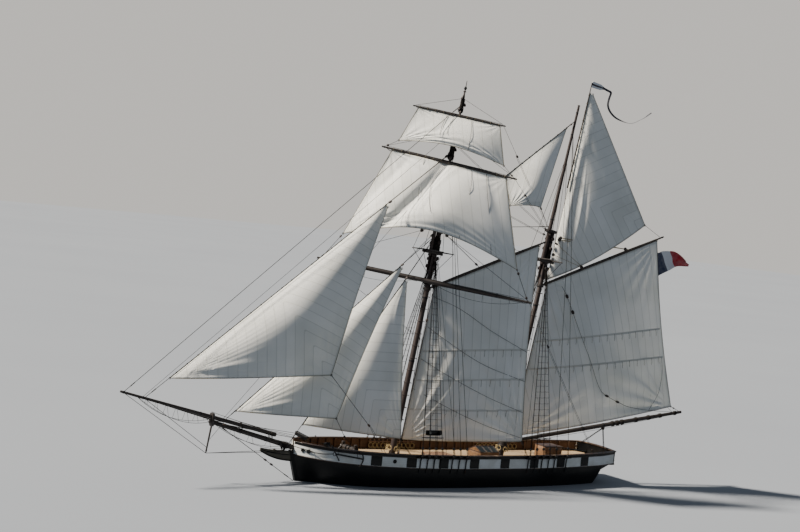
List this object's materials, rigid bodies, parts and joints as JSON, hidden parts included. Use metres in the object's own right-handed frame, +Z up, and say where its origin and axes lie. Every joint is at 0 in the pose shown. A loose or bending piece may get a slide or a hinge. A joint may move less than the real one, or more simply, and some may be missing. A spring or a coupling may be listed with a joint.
{
  "type": "1:2 scale model of a two-masted topsail schooner",
  "caption": "Two-masted topsail schooner under full sail, close-hauled, with a keeled hull, raked masts, square topsails, gaff sails and jibs on a long jibboom.",
  "frame": {"origin": "amidships in the middle plane, on the waterline the ship floats at", "axes": "+X towards the bow, +Y to port, +Z up, with the ship upright"},
  "size_m": [21.6475, 4.6487, 15.411],
  "materials": {
    "hull_paint": "black oil paint, half gloss",
    "band_paint": "white oil paint",
    "varnished_wood": "varnished hardwood",
    "spar_paint": "dark oiled and tarred spar wood",
    "tarred_rope": "tarred hemp",
    "ironwork": "black painted wrought iron",
    "sailcloth": "off-white woven sailcloth",
    "flag_cloth": "woven bunting in three stripes"
  },
  "bodies": {
    "ship": {"hull": "hull_paint", "backbone": "hull_paint", "head_knee": "varnished_wood", "bulwark_port": "band_paint", "bulwark_starboard": "band_paint", "rail_port": "varnished_wood", "rail_starboard": "varnished_wood", "transom": "band_paint", "bowsprit": "spar_paint", "jibboom": "spar_paint", "bowsprit_cap": "spar_paint", "martingale": "spar_paint", "fore_lower_mast": "spar_paint", "fore_topmast": "spar_paint", "fore_crosstrees": "spar_paint", "fore_cap": "spar_paint", "main_lower_mast": "spar_paint", "main_topmast": "spar_paint", "main_crosstrees": "spar_paint", "main_cap": "spar_paint", "fore_shrouds_port": "tarred_rope", "main_shrouds_port": "tarred_rope", "fore_shrouds_starboard": "tarred_rope", "main_shrouds_starboard": "tarred_rope", "forestay": "tarred_rope", "inner_jib_stay": "tarred_rope", "outer_jib_stay": "tarred_rope", "topgallant_stay": "tarred_rope", "spring_stay": "tarred_rope", "staysail_stay": "tarred_rope", "bobstay": "tarred_rope", "lower_yard_truss": "ironwork", "outer_jib": "sailcloth", "inner_jib": "sailcloth", "fore_staysail": "sailcloth", "main_topmast_staysail": "sailcloth", "companion": "varnished_wood", "skylight": "varnished_wood", "main_hatch": "varnished_wood", "windlass": "spar_paint"},
    "fore_yards": {"lower_yard": "spar_paint", "topsail_yard": "spar_paint", "topgallant_yard": "spar_paint", "topsail": "sailcloth", "topgallant": "sailcloth"},
    "fore_gaff_rig": {"fore_gaff": "spar_paint", "foresail": "sailcloth"},
    "main_rig": {"main_boom": "spar_paint", "main_gaff": "spar_paint", "mainsail": "sailcloth", "topsail_pole": "spar_paint", "gaff_topsail": "sailcloth", "ensign": "flag_cloth"},
    "steering": {"rudder": "hull_paint"}
  },
  "joints": [
    {"name": "yards_brace", "type": "hinge", "parent": "ship", "child": "fore_yards", "pos_m": [2.6285, 0, 0.77318], "axis": [-0.1288, 0, 0.9917], "range_deg": [-100, 0]},
    {"name": "fore_gaff_swing", "type": "hinge", "parent": "ship", "child": "fore_gaff_rig", "pos_m": [2.45, 0, 0.75], "axis": [-0.1288, 0, 0.9917], "range_deg": [-4, 13]},
    {"name": "main_boom_swing", "type": "hinge", "parent": "ship", "child": "main_rig", "pos_m": [-2.01, 0, 0.75], "axis": [-0.1564, 0, 0.9877], "range_deg": [-22, 38]},
    {"name": "rudder_turn", "type": "hinge", "parent": "ship", "child": "steering", "pos_m": [-5.67, 0, -1.525], "axis": [-0.0639, 0, 0.998], "range_deg": [-35, 35]}
  ]
}
